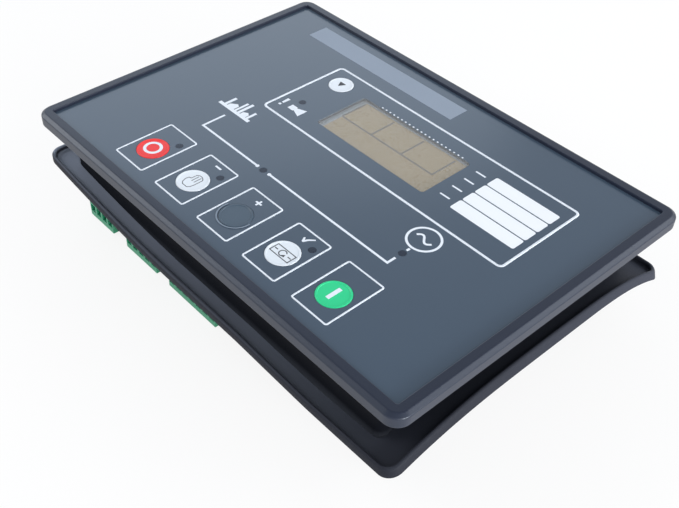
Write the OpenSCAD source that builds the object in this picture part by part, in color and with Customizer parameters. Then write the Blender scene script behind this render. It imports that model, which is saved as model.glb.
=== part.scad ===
// Generator set controller for panel mounting.
// It lies on its rear face: X runs along the front's width, Y towards the front's top edge,
// Z from the rear face out of the front. The origin is at the middle of the rear face.

/* [Front] */
// Width of the bezel
front_w = 244; // [236:1:260]
// Height of the bezel
front_h = 172; // [166:1:180]
// Depth from the rim's top to the rear face
depth = 57; // [55:1:65]
// Radius of the bezel's corners
front_r = 7; // [6.8:0.1:9]
// Width of the raised rim
rim_w = 4; // [3:0.1:4.2]
// Height of the rim above the front film
rim_step = 1.6; // [1:0.1:2]
// Width of the slope outside the rim
slope_w = 1.9; // [1:0.1:2]
// Drop of the slope outside the rim
slope_h = 1.5; // [1:0.1:2]
// Height of the bezel from its underside to the rim's top
bezel_h = 6.8; // [6.4:0.1:8]
// Thickness of the flange that the case has inside the bezel
flange_t = 1.9; // [1.6:0.1:2.2]
// Thickness of the printed front film
film_t = 0.5; // [0.3:0.1:0.8]

/* [Case] */
// Width of the case behind the flange
body_w = 213; // [210:1:214]
// Height of the case behind the flange
body_h = 153; // [151:1:157]
// Radius of the case's corners
body_r = 4; // [3.5:0.1:6]
// Wall thickness of the mouldings
wall = 2.5; // [2:0.1:3]
// Distance of the case screws from the middle, across
case_screw_x = 97; // [94:1:98]
// Height of the two upper case screws above the middle
case_screw_high = 69; // [66:1:70]
// Height of the two lower case screws above the middle
case_screw_low = -46; // [-48:1:-30]

/* [Keys] */
// Diameter of the five keys in the bottom row
key_d = 15.1; // [13:0.1:17]
// Spacing of the keys in the bottom row
key_pitch = 30.8; // [26:0.1:34]
// Middle of the bottom row, across
key_row_x = -0.8; // [-5:0.1:5]
// Middle of the bottom row, up
key_row_y = -59.7; // [-64:0.1:-56]
// Diameter of the scroll key
scroll_d = 12.6; // [10:0.1:15]
// Middle of the scroll key, across
scroll_x = -46.1; // [-48:0.1:-44]
// Middle of the scroll key, up
scroll_y = 41.9; // [38:0.1:44]
// Gap between a key and the hole it moves in
key_gap = 0.15; // [0.15:0.05:0.6]
// Travel of a key
key_travel = 0.5; // [0.3:0.1:0.7]

/* [Display] */
// Left edge of the display's window
window_left = -30; // [-32:0.1:-28]
// Right edge of the display's window
window_right = 39.1; // [36:0.1:42]
// Lower edge of the display's window
window_low = 11.8; // [9:0.1:13]
// Upper edge of the display's window
window_high = 42.9; // [40:0.1:45]
// Depth of the display's glass below the front film
glass_drop = 1.4; // [1.2:0.1:1.8]
// Left edge of the four label strips
label_left = 53.6; // [52:0.1:56]
// Length of a label strip
label_w = 35.3; // [30:0.1:38]
// Height of a label strip
label_h = 7.3; // [6:0.1:7.6]
// Spacing of the label strips
label_pitch = 7.95; // [7.8:0.05:8.2]
// Middle of the lowest label strip
label_low = 17.3; // [15:0.1:19]
// Diameter of the lamp lenses
lamp_d = 3.4; // [3:0.1:4]

/* [Terminals] */
// Spacing of the wire entries
way = 5.08; // [5:0.01:5.2]
// Height of a terminal plug
plug_t = 15; // [14:0.1:15.5]
// Length of a plug outside its socket
plug_len = 11; // [10:0.1:12]
// Width of a square wire entry
entry_w = 3; // [2.6:0.1:3.4]

/* [Gasket] */
// Width of the gasket
gasket_w = 240.6; // [234:0.2:240.6]
// Height of the gasket
gasket_h = 171.6; // [166:0.2:171.6]
// Shift of the loose gasket to the right
gasket_shift = 1.6; // [0:0.1:1.6]
// Radius of the gasket's corners
gasket_r = 6.5; // [5:0.5:8]
// Thickness of the gasket's rubber
gasket_t = 1.6; // [1.2:0.1:2]
// Height of the gasket's lip above its web
lip_h = 2.6; // [1.5:0.1:3]
// Height of the gasket's underside where it hangs lowest
gasket_z = 19.2; // [19:0.1:22]
// Rise of the gasket to its left side
gasket_lift = 8.9; // [0:0.1:10]
// Fall of the gasket from its middle to its right end
gasket_fall = 2.1; // [0:0.1:2.5]
// Rise of the gasket's right side between its corners
gasket_arch = 10.4; // [0:0.1:11]

/* [Hidden] */
$fn = 48;

// Heights of the front's layers
film_z = depth - rim_step;
seat_z = film_z - film_t;
flange_z = depth - bezel_h;
plate_z = flange_z + flange_t;
tube_top = plate_z - 4;

// Edges and clearances
rim_edge = 0.5;
slope_edge = 0.5;
inner_edge = 0.3;
low_edge = 0.9;
skirt_t = 3;
rear_edge = 1.2;
slip = 0.1;
cover_gap = 0.2;

// Boards inside the case
board_t = 1.6;
power_z = 17;
power_top = power_z + board_t;
board_gap = 6.5;
front_board_z = plate_z - board_gap - board_t;
front_top = front_board_z + board_t;
front_board_w = 190;
front_board_h = 136;
front_board_y = 2;
power_board_w = 180;
power_board_h = 128;
power_board_y = 5;
post_d = 7;
tube_d = 8;
tube_rib = body_w / 2 - wall / 2 - case_screw_x;
screw_d = 3;
head_d = 5.6;
head_t = 2;
post_hole = screw_d + 2 * slip;

// Keys: name, place and diameter in one row each
key_x = [for (i = [-2:2]) key_row_x + i * key_pitch];
KEY_AT = concat([for (x = key_x) [x, key_row_y, key_d]], [[scroll_x, scroll_y, scroll_d]]);
STOP = 0;
MANUAL = 1;
SPARE = 2;
AUTO = 3;
START = 4;
SCROLL = 5;
key_edge = 0.3;
key_ring_w = 0.8;
key_ring_h = 0.2;
key_collar = 1.4;
key_collar_t = 1.2;
key_rest_gap = 0.3;
switch_w = 6;
switch_t = 3.5;
plunger_d = 3.4;
plunger_out = 1;
plunger_in = 1.6;
plunger_top = front_top + switch_t + plunger_out;

// Lamp lenses: three beside keys, one alarm lamp, two on the line diagram
LAMP_AT = [
  [key_x[STOP] + 6.3, key_row_y + 10.3],
  [key_x[MANUAL] + 6.3, key_row_y + 10.3],
  [key_x[AUTO] + 6.3, key_row_y + 10.3],
  [scroll_x - 0.7, window_low + 5.3],
  [key_row_x - 16.7, -31.3],
  [key_row_x + 62.2, -22.7]
];
lamp_t = 1.2;
lamp_w = 3;

// Window of the display
window_w = window_right - window_left;
window_h = window_high - window_low;
window_mid = [(window_left + window_right) / 2, (window_low + window_high) / 2];
window_r = 1.5;
window_lip = 0.3;
glass_z = film_z - glass_drop;
glass_t = 2.2;
glass_over = 1.5;
holder_wall = 3;
label_r = 1;

// Terminals: ways and left edge of each block
WAYS = [4, 5, 7];
BLOCK_LEFT = [-101.2, -69, -33.3];
plug_z = 0.4;
plug_face = -body_h / 2 + 0.1;
plug_back = plug_face + plug_len;
nose_len = 8;
nose_t = 8;
nose_in = 0.3;
nose_z = plug_z + 6.4;
socket_wall = 1.4;
socket_len = 10.5;
entry_h = 3.6;
entry_z = plug_z + 3.3;
entry_flare = 0.3;
clamp_w = 4;
clamp_len = 4.6;
clamp_h = 7;
clamp_z = plug_z + 2.2;
clamp_nut = 1.4;
driver_d = 3.6;
clamp_y = plug_face + 6.4;
pin_w = 1;
pin_drop_y = plug_back + socket_len + 0.4;
recess_gap = 0.8;
recess_y = plug_back - wall - slip;
recess_top = plug_z + plug_t + recess_gap;

// Fixing clip catches in the case's long sides
catch_w = 9;
catch_h = 6;
catch_in = 1.2;
catch_x = 80;
catch_z = flange_z - 10;

// Gasket sweep
lip_t = 1.6;
lip_edge = 0.4;
gasket_inner_r = body_r - 0.5;
lift_start = -20;
lift_end = -115;
lift_power = 1.6;
fall_start = 30;
fall_end = 75;
arch_start = 40;
arch_end = gasket_w / 2 + gasket_shift;
sag_near = -9;
sag_near_reach = 79;
sag_far = 28;
sag_far_reach = 54.5;
sag_power = 2.7;
corner_steps = 6;
side_step = 9;

// Points of an arc, counted from angle a0 to angle a1
function arc(centre, r, a0, a1, steps = 5) =
  [for (i = [0:steps]) centre + r * [cos(a0 + (a1 - a0) * i / steps), sin(a0 + (a1 - a0) * i / steps)]];

// Corner b between a and c, replaced by a curve that starts and ends at a distance from it
function soft(a, b, c, reach, steps = 4) =
  let (
    start = b + reach * (a - b) / norm(a - b),
    end = b + reach * (c - b) / norm(c - b))
  [for (i = [0:steps])
    let (t = i / steps)
    pow(1 - t, 2) * start + 2 * t * (1 - t) * b + pow(t, 2) * end];

// Rectangle with round corners about the origin
module rounded_rect(w, h, r) {
  square([w - 2 * r, h], center = true);
  square([w, h - 2 * r], center = true);
  for (x = [-1, 1], y = [-1, 1])
    translate([x * (w / 2 - r), y * (h / 2 - r)])
      circle(r);
}

// Flat plate with round corners
module plate(w, h, r, t, z) {
  translate([0, 0, z])
    linear_extrude(t)
      rounded_rect(w, h, r);
}

// Runs a section round a rectangle with round corners. The section's x is the distance
// from the corner's centre, and its y is the height
module run_round(w, h, r) {
  for (turn = [0, 180]) {
    rotate([0, 0, turn])
      translate([w / 2 - r, 0, 0])
        rotate([90, 0, 0])
          linear_extrude(h - 2 * r, center = true)
            children();
    rotate([0, 0, turn + 90])
      translate([h / 2 - r, 0, 0])
        rotate([90, 0, 0])
          linear_extrude(w - 2 * r, center = true)
            children();
  }
  for (corner = [[1, 1, 0], [-1, 1, 90], [-1, -1, 180], [1, -1, 270]])
    translate([corner[0] * (w / 2 - r), corner[1] * (h / 2 - r), 0])
      rotate([0, 0, corner[2]])
        rotate_extrude(angle = 90)
          children();
}

// Upright box given by its lower left corner
module block(corner, size) {
  translate(corner)
    cube(size);
}

// Upright cylinder between two heights
module rod(at, d, z0, z1) {
  translate([at[0], at[1], z0])
    cylinder(d = d, h = z1 - z0);
}

module at_case_screws() {
  for (x = [-case_screw_x, case_screw_x], y = [case_screw_low, case_screw_high])
    translate([x, y, 0])
      children();
}

module at_front_board_screws() {
  for (x = [-86, 86], y = [-40, 62])
    translate([x, y, 0])
      children();
}

module at_power_board_screws() {
  for (x = [-1, 1], y = [-1, 1])
    translate([x * (power_board_w / 2 - 6), power_board_y + y * (power_board_h / 2 - 14), 0])
      children();
}

// Box over the display's window, grown by a margin on each side
module window_box(margin, z, t) {
  translate([window_mid[0], window_mid[1], z + t / 2])
    cube([window_w + 2 * margin, window_h + 2 * margin, t], center = true);
}

// Opening or pane of the display's window, with its round corners
module window_pane(margin, z, t) {
  translate([window_mid[0], window_mid[1], 0])
    plate(window_w + 2 * margin, window_h + 2 * margin, window_r + margin, t, z);
}

module label_plates(margin, z, t) {
  for (i = [0:3])
    translate([label_left + label_w / 2, label_low + i * label_pitch, 0])
      plate(label_w + 2 * margin, label_h + 2 * margin, label_r + margin, t, z);
}

// Moulded front: rim, slope and skirt in one section, and the plate that carries film and keys
module front_bezel() {
  inside = front_r - slope_w - rim_w;
  skirt = front_r - skirt_t;
  top = [front_r - slope_w, depth];
  wide = [front_r, depth - slope_h];
  low = [front_r, flange_z + low_edge];
  section = concat(
    [[inside, plate_z]],
    arc([inside + inner_edge, depth - inner_edge], inner_edge, 180, 90, 2),
    soft([inside, depth], top, wide, rim_edge),
    soft(top, wide, low, slope_edge),
    arc([front_r - low_edge, flange_z + low_edge], low_edge, 0, -90),
    [[skirt, flange_z], [skirt, plate_z]]);
  color("dimgray")
  difference() {
    union() {
      run_round(front_w, front_h, front_r)
        polygon(section);
      plate(front_w - 2 * (slope_w + rim_w) + 1, front_h - 2 * (slope_w + rim_w) + 1, inside + 0.5,
            seat_z - plate_z, plate_z);
      at_case_screws()
        rod([0, 0], tube_d, tube_top, plate_z + 1);
      at_front_board_screws()
        rod([0, 0], post_d, front_top, plate_z + 1);
    }
    for (key = KEY_AT)
      rod(key, key[2] + 2 * key_gap, plate_z - 1, depth);
    for (lamp = LAMP_AT)
      rod(lamp, lamp_d + 2 * slip, plate_z - 1, depth);
    window_pane(0, plate_z - 1, depth);
    window_box(glass_over + slip, plate_z - 1, glass_z + slip - plate_z + 1);
    at_case_screws()
      rod([0, 0], post_hole, tube_top - 1, plate_z + 1.5);
    at_front_board_screws()
      rod([0, 0], post_hole, front_top - 1, plate_z + 1.5);
  }
}

// Printed sheet in the bezel's recess, open over keys, lamps, display and labels
module front_film() {
  color("slategray")
  difference() {
    plate(front_w - 2 * (slope_w + rim_w + slip), front_h - 2 * (slope_w + rim_w + slip),
          front_r - slope_w - rim_w, film_t, seat_z);
    for (key = KEY_AT)
      rod(key, key[2] + 2 * key_gap, seat_z - 1, depth);
    for (lamp = LAMP_AT)
      rod(lamp, lamp_d + 2 * slip, seat_z - 1, depth);
    window_pane(window_lip + slip / 2, seat_z - 1, depth);
    label_plates(slip / 2, seat_z - 1, depth);
  }
}

module display_window() {
  color("lightgray", 0.3)
    window_pane(window_lip, seat_z, film_t);
}

module label_strips() {
  color("white")
    label_plates(0, seat_z, film_t);
}

module lamp_lenses() {
  color("black")
    for (lamp = LAMP_AT)
      rod(lamp, lamp_d, front_top + lamp_t, film_z);
}

// Moulded case: flange inside the bezel's skirt, four walls, screw tubes and the terminals' recess
module case_body() {
  wall_section = concat(
    [[body_r - wall, plate_z], [body_r, plate_z]],
    arc([body_r - rear_edge, rear_edge], rear_edge, 0, -90),
    [[body_r - wall, 0]]);
  color("dimgray")
  difference() {
    union() {
      difference() {
        plate(front_w - 2 * (skirt_t + slip), front_h - 2 * (skirt_t + slip), front_r - skirt_t - slip,
              flange_t, flange_z);
        plate(body_w - wall, body_h - wall, body_r - wall / 2, flange_t + 2, flange_z - 1);
      }
      difference() {
        run_round(body_w, body_h, body_r)
          polygon(wall_section);
        block([-body_w / 2 - 1, -body_h / 2 - 1, -1], [body_w + 2, recess_y + body_h / 2 + 1, recess_top + 1]);
      }
      block([-body_w / 2 + 1, recess_y, 0], [body_w - 2, wall, recess_top + 1]);
      block([-body_w / 2 + 1, -body_h / 2 + 1, recess_top], [body_w - 2, recess_y + wall + body_h / 2 - 1, wall]);
      at_case_screws()
        rod([0, 0], tube_d, wall, tube_top);
      for (x = [-1, 1], y = [case_screw_low, case_screw_high])
        block([x * (case_screw_x + tube_rib / 2) - tube_rib / 2, y - 1, wall], [tube_rib, 2, tube_top - wall]);
    }
    at_case_screws()
      rod([0, 0], post_hole, wall - 1, tube_top + 1);
    for (i = [0:2])
      block([BLOCK_LEFT[i] - recess_gap, recess_y - 1, -1],
            [WAYS[i] * way + 2 * recess_gap, wall + 2, recess_top + 1]);
    for (x = [-catch_x, catch_x]) {
      block([x - catch_w / 2, -body_h / 2 - 1, catch_z], [catch_w, catch_in + 1, catch_h]);
      block([x - catch_w / 2, body_h / 2 - catch_in, catch_z], [catch_w, catch_in + 1, catch_h]);
    }
  }
}

// Rear plate with the power board's posts and ventilation slots
module rear_cover() {
  low = recess_y + wall + cover_gap;
  high = body_h / 2 - wall - cover_gap;
  slot_w = 3;
  slot_len = 26;
  slot_step = 8;
  color("dimgray")
  difference() {
    union() {
      translate([0, (low + high) / 2, 0])
        plate(body_w - 2 * wall - 2 * cover_gap, high - low, body_r - wall, wall, 0);
      at_power_board_screws()
        rod([0, 0], post_d, wall - 0.5, power_z);
    }
    for (row = [-1, 1], i = [-5:5])
      block([i * slot_step - slot_w / 2, 22 + row * 20 - slot_len / 2, -1], [slot_w, slot_len, wall + 2]);
    at_case_screws() {
      rod([0, 0], post_hole, -1, wall + 1);
      rod([0, 0], head_d + 4 * slip, -1, wall / 2);
    }
    at_power_board_screws()
      rod([0, 0], post_hole, wall, power_z + 1);
  }
}

// Long screws through cover and case into the bezel
module case_screws() {
  head_z = 0.3;
  color("silver")
    at_case_screws()
      difference() {
        union() {
          rod([0, 0], head_d, head_z, wall / 2);
          rod([0, 0], screw_d, wall / 2 - 0.2, plate_z);
        }
        for (turn = [0, 90])
          rotate([0, 0, turn])
            block([-1.6, -0.35, head_z - 1], [3.2, 0.7, 1.6]);
      }
}

// How far a value has come from a start to an end, held between 0 and 1
function share(value, start, end) = max(0, min(1, (value - start) / (end - start)));

// Height of the gasket's underside at a place on it
function gasket_rise(x, y) =
  gasket_z
  + gasket_lift * pow(share(x, lift_start, lift_end), lift_power)
  + gasket_fall * share(x, fall_end, fall_start)
  + gasket_arch * pow(share(x, arch_start, arch_end), 2)
    * (1 - pow(max(share(y, sag_near, sag_near - sag_near_reach), share(y, sag_far, sag_far + sag_far_reach)),
               sag_power));

// Points round a rounded rectangle, anticlockwise from the lower right corner, with the same count
// on every outline so that an inner and an outer one can be joined
function outline(w, h, r) =
  let (across = ceil(gasket_w / side_step), up = ceil(gasket_h / side_step))
  [for (side = [0:3])
    let (
      a = side * 90,
      corner = [[1, -1], [1, 1], [-1, 1], [-1, -1]][side],
      next = [[1, 1], [-1, 1], [-1, -1], [1, -1]][side],
      centre = [corner[0] * (w / 2 - r), corner[1] * (h / 2 - r)],
      end = [next[0] * (w / 2 - r), next[1] * (h / 2 - r)],
      out = [cos(a), sin(a)],
      steps = side % 2 == 0 ? up : across)
    for (p = concat(
      arc(centre, r, a - 90, a, corner_steps),
      [for (i = [1:steps - 1]) centre + r * out + (end - centre) * i / steps]))
      p];

// Section of the gasket between a point on the case and one on its outer edge: web, then lip
function gasket_section(inner, outer) =
  let (
    reach = norm(outer - inner),
    along = (outer - inner) / reach,
    rim_z = gasket_t + lip_h,
    foot = reach - lip_t,
    marks = concat(
      [[0, 0], [reach / 2, 0]],
      arc([reach - lip_edge, lip_edge], lip_edge, -90, 0, 2),
      arc([reach - lip_edge, rim_z - lip_edge], lip_edge, 0, 90, 2),
      arc([foot + lip_edge, rim_z - lip_edge], lip_edge, 90, 180, 2),
      [[foot, gasket_t + lip_edge], [foot - lip_edge, gasket_t], [reach / 2, gasket_t], [0, gasket_t]]))
  [for (m = marks)
    let (p = inner + along * m[0])
    [p[0], p[1], gasket_rise(p[0], p[1]) + m[1]]];

// Rubber sealing frame that grips the case, raised at its left side and sagging at its right corners
module panel_gasket() {
  inner = outline(body_w, body_h, gasket_inner_r);
  outer = [for (p = outline(gasket_w, gasket_h, gasket_r)) p + [gasket_shift, 0]];
  rings = len(inner);
  sections = [for (i = [0:rings - 1]) gasket_section(inner[i], outer[i])];
  marks = len(sections[0]);
  points = [for (s = sections) for (p = s) p];
  faces = [for (i = [0:rings - 1], j = [0:marks - 1])
    let (a = i * marks, b = ((i + 1) % rings) * marks, k = (j + 1) % marks)
    for (f = [[a + j, b + k, b + j], [a + j, a + k, b + k]]) f];
  color("black")
    polyhedron(points, faces);
}

module front_board() {
  color("darkgreen")
  difference() {
    translate([0, front_board_y, front_board_z + board_t / 2])
      cube([front_board_w, front_board_h, board_t], center = true);
    at_front_board_screws()
      rod([0, 0], post_hole, 0, depth);
    at_case_screws()
      rod([0, 0], tube_d + 2, 0, depth);
  }
}

module front_board_screws() {
  color("silver")
    at_front_board_screws() {
      rod([0, 0], head_d, front_board_z - head_t, front_board_z);
      rod([0, 0], screw_d, front_board_z - head_t, plate_z);
    }
}

module lamps() {
  color("gainsboro")
    for (lamp = LAMP_AT)
      block([lamp[0] - lamp_w / 2, lamp[1] - lamp_w / 2, front_top], [lamp_w, lamp_w, lamp_t]);
}

// Switch bodies under the keys, each with a bore for its plunger
module key_switches() {
  color("black")
    for (key = KEY_AT)
      difference() {
        block([key[0] - switch_w / 2, key[1] - switch_w / 2, front_top], [switch_w, switch_w, switch_t]);
        rod(key, plunger_d + 2 * key_gap, front_top + switch_t - plunger_in - 1, front_top + switch_t + 1);
      }
}

module plunger(i) {
  color("gainsboro")
    rod(KEY_AT[i], plunger_d, front_top + switch_t - plunger_in + key_travel, plunger_top);
}

// Key cap: face disc level with the film, raised ring, collar behind the bezel and a stem on the plunger
module key_cap(i, tint) {
  at = KEY_AT[i];
  r = at[2] / 2;
  collar_top = plate_z - key_rest_gap;
  section = concat(
    [[0, plunger_top], [plunger_d / 2, plunger_top], [plunger_d / 2, collar_top - key_collar_t],
     [r + key_collar, collar_top - key_collar_t], [r + key_collar, collar_top], [r, collar_top]],
    arc([r - key_edge, film_z + key_ring_h - key_edge], key_edge, 0, 90, 3),
    [[r - key_ring_w, film_z + key_ring_h], [r - key_ring_w - key_ring_h, film_z], [0, film_z]]);
  color(tint)
    translate([at[0], at[1], 0])
      rotate_extrude()
        polygon(section);
}

module processor() {
  body = 14;
  lead = 0.4;
  lead_step = 0.8;
  color("black")
    block([-30 - body / 2, -10 - body / 2, front_board_z - 1.7], [body, body, 1.5]);
  color("silver")
    for (turn = [0:90:270])
      translate([-30, -10, 0])
        rotate([0, 0, turn])
          for (i = [-7:7])
            block([body / 2 - 0.2, i * lead_step - lead / 2, front_board_z - 0.6], [1.6, lead, 0.6]);
}

module display_glass() {
  color("tan")
    window_box(glass_over, glass_z - glass_t, glass_t);
}

// Frame that carries the glass above the board
module display_holder() {
  color("black")
  difference() {
    window_box(holder_wall, front_top, glass_z - glass_t - front_top);
    window_box(-holder_wall, front_top - 1, depth);
  }
}

module backlight() {
  color("white")
    window_box(-holder_wall - slip, front_top, glass_z - glass_t - front_top - 0.5);
}

module power_board() {
  color("darkgreen")
  difference() {
    translate([0, power_board_y, power_z + board_t / 2])
      cube([power_board_w, power_board_h, board_t], center = true);
    at_power_board_screws()
      rod([0, 0], post_hole, 0, depth);
    for (i = [0:2], j = [0:WAYS[i] - 1])
      block([way_x(i, j) - pin_w / 2 - slip, pin_drop_y - slip, power_z - 1],
            [pin_w + 2 * slip, pin_w + 2 * slip, board_t + 2]);
  }
}

module power_board_screws() {
  color("silver")
    at_power_board_screws() {
      rod([0, 0], head_d, power_top, power_top + head_t);
      rod([0, 0], screw_d, wall + 3, power_top + 0.5);
    }
}

// Strip of pins that joins the two boards
module board_link() {
  pins = 16;
  pin_step = 2.54;
  bar = 8.5;
  color("black")
    for (z = [power_top, front_board_z - bar])
      block([60 - pins * pin_step / 2, 40, z], [pins * pin_step, 2.5, bar]);
  color("gold")
    for (i = [0:pins - 1])
      block([60 + (i - pins / 2 + 0.5) * pin_step - 0.32, 40.93, power_top + bar - 1],
            [0.64, 0.64, front_board_z - power_top - 2 * bar + 2]);
}

module relays() {
  color("dodgerblue")
    for (i = [0:4])
      block([-78 + i * 24, -30, power_top], [19, 15.5, 15.3]);
}

module sensing_transformers() {
  color("orange")
    for (i = [0:2])
      block([-70 + i * 34, 10, power_top], [20, 18, 16]);
}

module supply_capacitors() {
  color("navy")
    for (i = [0, 1])
      rod([58 + i * 18, -12], 13, power_top, power_top + 21);
}

module supply_choke() {
  color("saddlebrown")
    translate([64, 16, power_top + 4])
      rotate_extrude()
        translate([7, 0])
          circle(4);
}

// Middle of a wire entry in a block
function way_x(i, j) = BLOCK_LEFT[i] + (j + 0.5) * way;

// Left edge and width of a plug's nose
function nose_left(i) = BLOCK_LEFT[i] + nose_in;
function nose_w(i) = WAYS[i] * way - 2 * nose_in;

// Box-shaped socket on the power board that takes a plug's nose
module terminal_socket(i) {
  front = plug_back + slip;
  low = nose_z - socket_wall;
  color("mediumseagreen")
  difference() {
    block([nose_left(i) - slip - socket_wall, front, low],
          [nose_w(i) + 2 * slip + 2 * socket_wall, socket_len, power_z - low]);
    block([nose_left(i) - slip, front - 1, nose_z],
          [nose_w(i) + 2 * slip, socket_len - socket_wall + 1, nose_t + slip]);
    for (j = [0:WAYS[i] - 1])
      block([way_x(i, j) - pin_w / 2 - slip, front, nose_z + nose_t / 2 - pin_w / 2 - slip],
            [pin_w + 2 * slip, socket_len + 1, pin_w + 2 * slip]);
  }
}

// Angled pins of the three sockets, from the plugs' contacts to the power board
module socket_pins() {
  z = nose_z + nose_t / 2 - pin_w / 2;
  tip = plug_back + 2.5;
  color("gold")
    for (i = [0:2], j = [0:WAYS[i] - 1]) {
      block([way_x(i, j) - pin_w / 2, tip, z], [pin_w, pin_drop_y + pin_w - tip, pin_w]);
      block([way_x(i, j) - pin_w / 2, pin_drop_y, z], [pin_w, pin_w, power_top + 1 - z]);
    }
}

// Plug with funnel-shaped wire entries, screwdriver holes and a stepped nose
module terminal_plug(i) {
  length = WAYS[i] * way;
  bevel = 2.2;
  color("mediumseagreen")
  difference() {
    union() {
      translate([BLOCK_LEFT[i], 0, 0])
        rotate([90, 0, 90])
          linear_extrude(length)
            polygon([[plug_face, plug_z], [plug_back, plug_z], [plug_back, plug_z + plug_t],
                     [plug_face + bevel, plug_z + plug_t], [plug_face, plug_z + plug_t - bevel]]);
      block([nose_left(i), plug_back - 1, nose_z], [nose_w(i), nose_len + 1, nose_t]);
    }
    for (j = [0:WAYS[i] - 1]) {
      block([way_x(i, j) - entry_w / 2, plug_face - 1, entry_z], [entry_w, clamp_y - plug_face + 2, entry_h]);
      block([way_x(i, j) - entry_w / 2 - entry_flare, plug_face - 1, entry_z - entry_flare],
            [entry_w + 2 * entry_flare, 1.8, entry_h + 2 * entry_flare]);
      block([way_x(i, j) - clamp_w / 2 - slip, clamp_y - slip, clamp_z],
            [clamp_w + 2 * slip, clamp_len + 2 * slip, clamp_h + slip]);
      rod([way_x(i, j), clamp_y + clamp_len / 2], driver_d, clamp_z + clamp_h - 1, plug_z + plug_t + 1);
      block([way_x(i, j) - pin_w / 2 - 2 * slip, plug_back + 1, nose_z + nose_t / 2 - pin_w / 2 - 2 * slip],
            [pin_w + 4 * slip, nose_len + 1, pin_w + 4 * slip]);
    }
  }
}

// Wire clamps inside the plugs, one open box for each way
module terminal_clamps() {
  skin = 0.8;
  color("silver")
    for (i = [0:2], j = [0:WAYS[i] - 1])
      difference() {
        block([way_x(i, j) - clamp_w / 2, clamp_y, clamp_z], [clamp_w, clamp_len, clamp_h]);
        block([way_x(i, j) - clamp_w / 2 + skin, clamp_y - 1, clamp_z + skin],
              [clamp_w - 2 * skin, clamp_len + 2, clamp_h - skin - clamp_nut]);
      }
}

// Slotted clamp screws, reached from above when a plug is pulled out
module terminal_screws() {
  head = 3.2;
  head_z = clamp_z + clamp_h;
  slot = 0.7;
  color("silver")
    for (i = [0:2], j = [0:WAYS[i] - 1])
      translate([way_x(i, j), clamp_y + clamp_len / 2, 0])
        difference() {
          rod([0, 0], head, head_z, head_z + head_t);
          block([-2, -slot / 2, head_z + head_t - slot], [4, slot, slot + 1]);
        }
}

front_bezel();
front_film();
display_window();
label_strips();
lamp_lenses();
case_body();
rear_cover();
case_screws();
panel_gasket();
front_board();
front_board_screws();
lamps();
key_switches();
processor();
display_glass();
display_holder();
backlight();
power_board();
power_board_screws();
board_link();
relays();
sensing_transformers();
supply_capacitors();
supply_choke();
terminal_socket(0);  // terminal_socket_a
terminal_socket(1);  // terminal_socket_b
terminal_socket(2);  // terminal_socket_c
socket_pins();
terminal_plug(0);  // terminal_plug_a
terminal_plug(1);  // terminal_plug_b
terminal_plug(2);  // terminal_plug_c
terminal_clamps();
terminal_screws();
key_cap(STOP, "red");  // key_stop
key_cap(MANUAL, "white");  // key_manual
key_cap(SPARE, "slategray");  // key_spare
key_cap(AUTO, "white");  // key_auto
key_cap(START, "limegreen");  // key_start
key_cap(SCROLL, "white");  // key_scroll
plunger(STOP);  // plunger_stop
plunger(MANUAL);  // plunger_manual
plunger(SPARE);  // plunger_spare
plunger(AUTO);  // plunger_auto
plunger(START);  // plunger_start
plunger(SCROLL);  // plunger_scroll
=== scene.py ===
import math

import bmesh
import bpy
from mathutils import Matrix, Vector


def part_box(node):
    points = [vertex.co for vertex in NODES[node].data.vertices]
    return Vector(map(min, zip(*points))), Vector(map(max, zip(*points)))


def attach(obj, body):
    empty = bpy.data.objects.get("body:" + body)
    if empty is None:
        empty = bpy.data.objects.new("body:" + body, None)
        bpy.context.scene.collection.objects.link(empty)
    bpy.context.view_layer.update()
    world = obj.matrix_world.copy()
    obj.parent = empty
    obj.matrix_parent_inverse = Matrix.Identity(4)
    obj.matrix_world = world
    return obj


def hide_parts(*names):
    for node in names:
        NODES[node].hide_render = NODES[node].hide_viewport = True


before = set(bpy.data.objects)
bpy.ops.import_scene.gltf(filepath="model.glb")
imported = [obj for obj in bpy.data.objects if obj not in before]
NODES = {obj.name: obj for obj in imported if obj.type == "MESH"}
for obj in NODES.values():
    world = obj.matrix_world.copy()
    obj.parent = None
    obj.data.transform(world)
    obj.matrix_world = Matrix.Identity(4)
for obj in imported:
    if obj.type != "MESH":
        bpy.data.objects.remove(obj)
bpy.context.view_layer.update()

# Sizes below are in millimetres on the controller's own axes, and MM turns them into metres
MM = 0.001
HOUSING = "housing"

# View of the photograph
IMAGE_W = 679
CAMERA_AT = (256.2, -247.2, 326.3)
CAMERA_AZIMUTH = 47.91
CAMERA_ELEVATION = 42.23
CAMERA_ROLL = 1.255
FOCAL_PX = 986.2
CENTRE_OFFSET_PX = (-25.7, -8.3)
SENSOR_MM = 36

# Stage, in metres. The tent's fall has two heights of a ray's direction and the strength at each.
# Each lamp has a place, an aim, a size, a power in watts and a colour
TENT_COLOUR = (0.94, 0.98, 1.04, 1)
TENT_FALL = (0.4, 0.85, 0.96, 0.4)
FLOOR_HALF = 6.0
FLOOR_COLOUR = (0.93, 0.93, 0.93, 1)
FLOOR_GLOW = 0.85
NEUTRAL = (1, 1, 1)
LAMPS = {
    "key_softbox": ((-1.09, -0.69, 0.71), (0, 0, 0.05), (0.85, 0.75), 7.8, NEUTRAL),
    "far_softbox": ((-1.09, 0.65, 0.67), (0, 0, 0.05), (1.2, 0.7), 2.5, (0.87, 0.99, 1.13)),
    "right_softbox": ((0.9, 0.93, 0.75), (0, 0, 0.05), (0.9, 0.8), 6.3, NEUTRAL),
    "side_softbox": ((1.2, -0.1, 0.25), (0, 0, 0.04), (0.8, 0.3), 13, NEUTRAL),
}

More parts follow.
